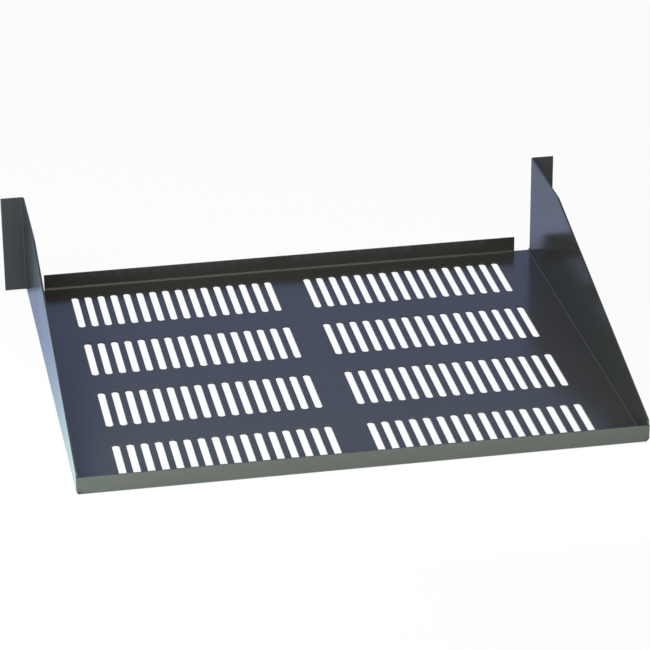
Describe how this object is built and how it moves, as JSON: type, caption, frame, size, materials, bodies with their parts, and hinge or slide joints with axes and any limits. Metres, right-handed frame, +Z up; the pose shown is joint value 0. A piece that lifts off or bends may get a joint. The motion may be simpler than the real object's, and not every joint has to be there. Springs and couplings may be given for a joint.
{
  "type": "cantilever rack shelf",
  "caption": "Folded sheet steel rack shelf with a slotted floor, low end lips, tapered side walls and two turned-out mounting ears.",
  "frame": {"origin": "centre of the bounding box in X and Y, on the underside of the floor", "axes": "+X across the shelf, +Y from the low end (nose) to the end with the ears, +Z up"},
  "size_m": [0.4826, 0.381, 0.0889],
  "materials": {
    "black_paint": "semi-gloss black powder coat on steel"
  },
  "bodies": {
    "root": {"shelf": "black_paint"}
  },
  "joints": []
}
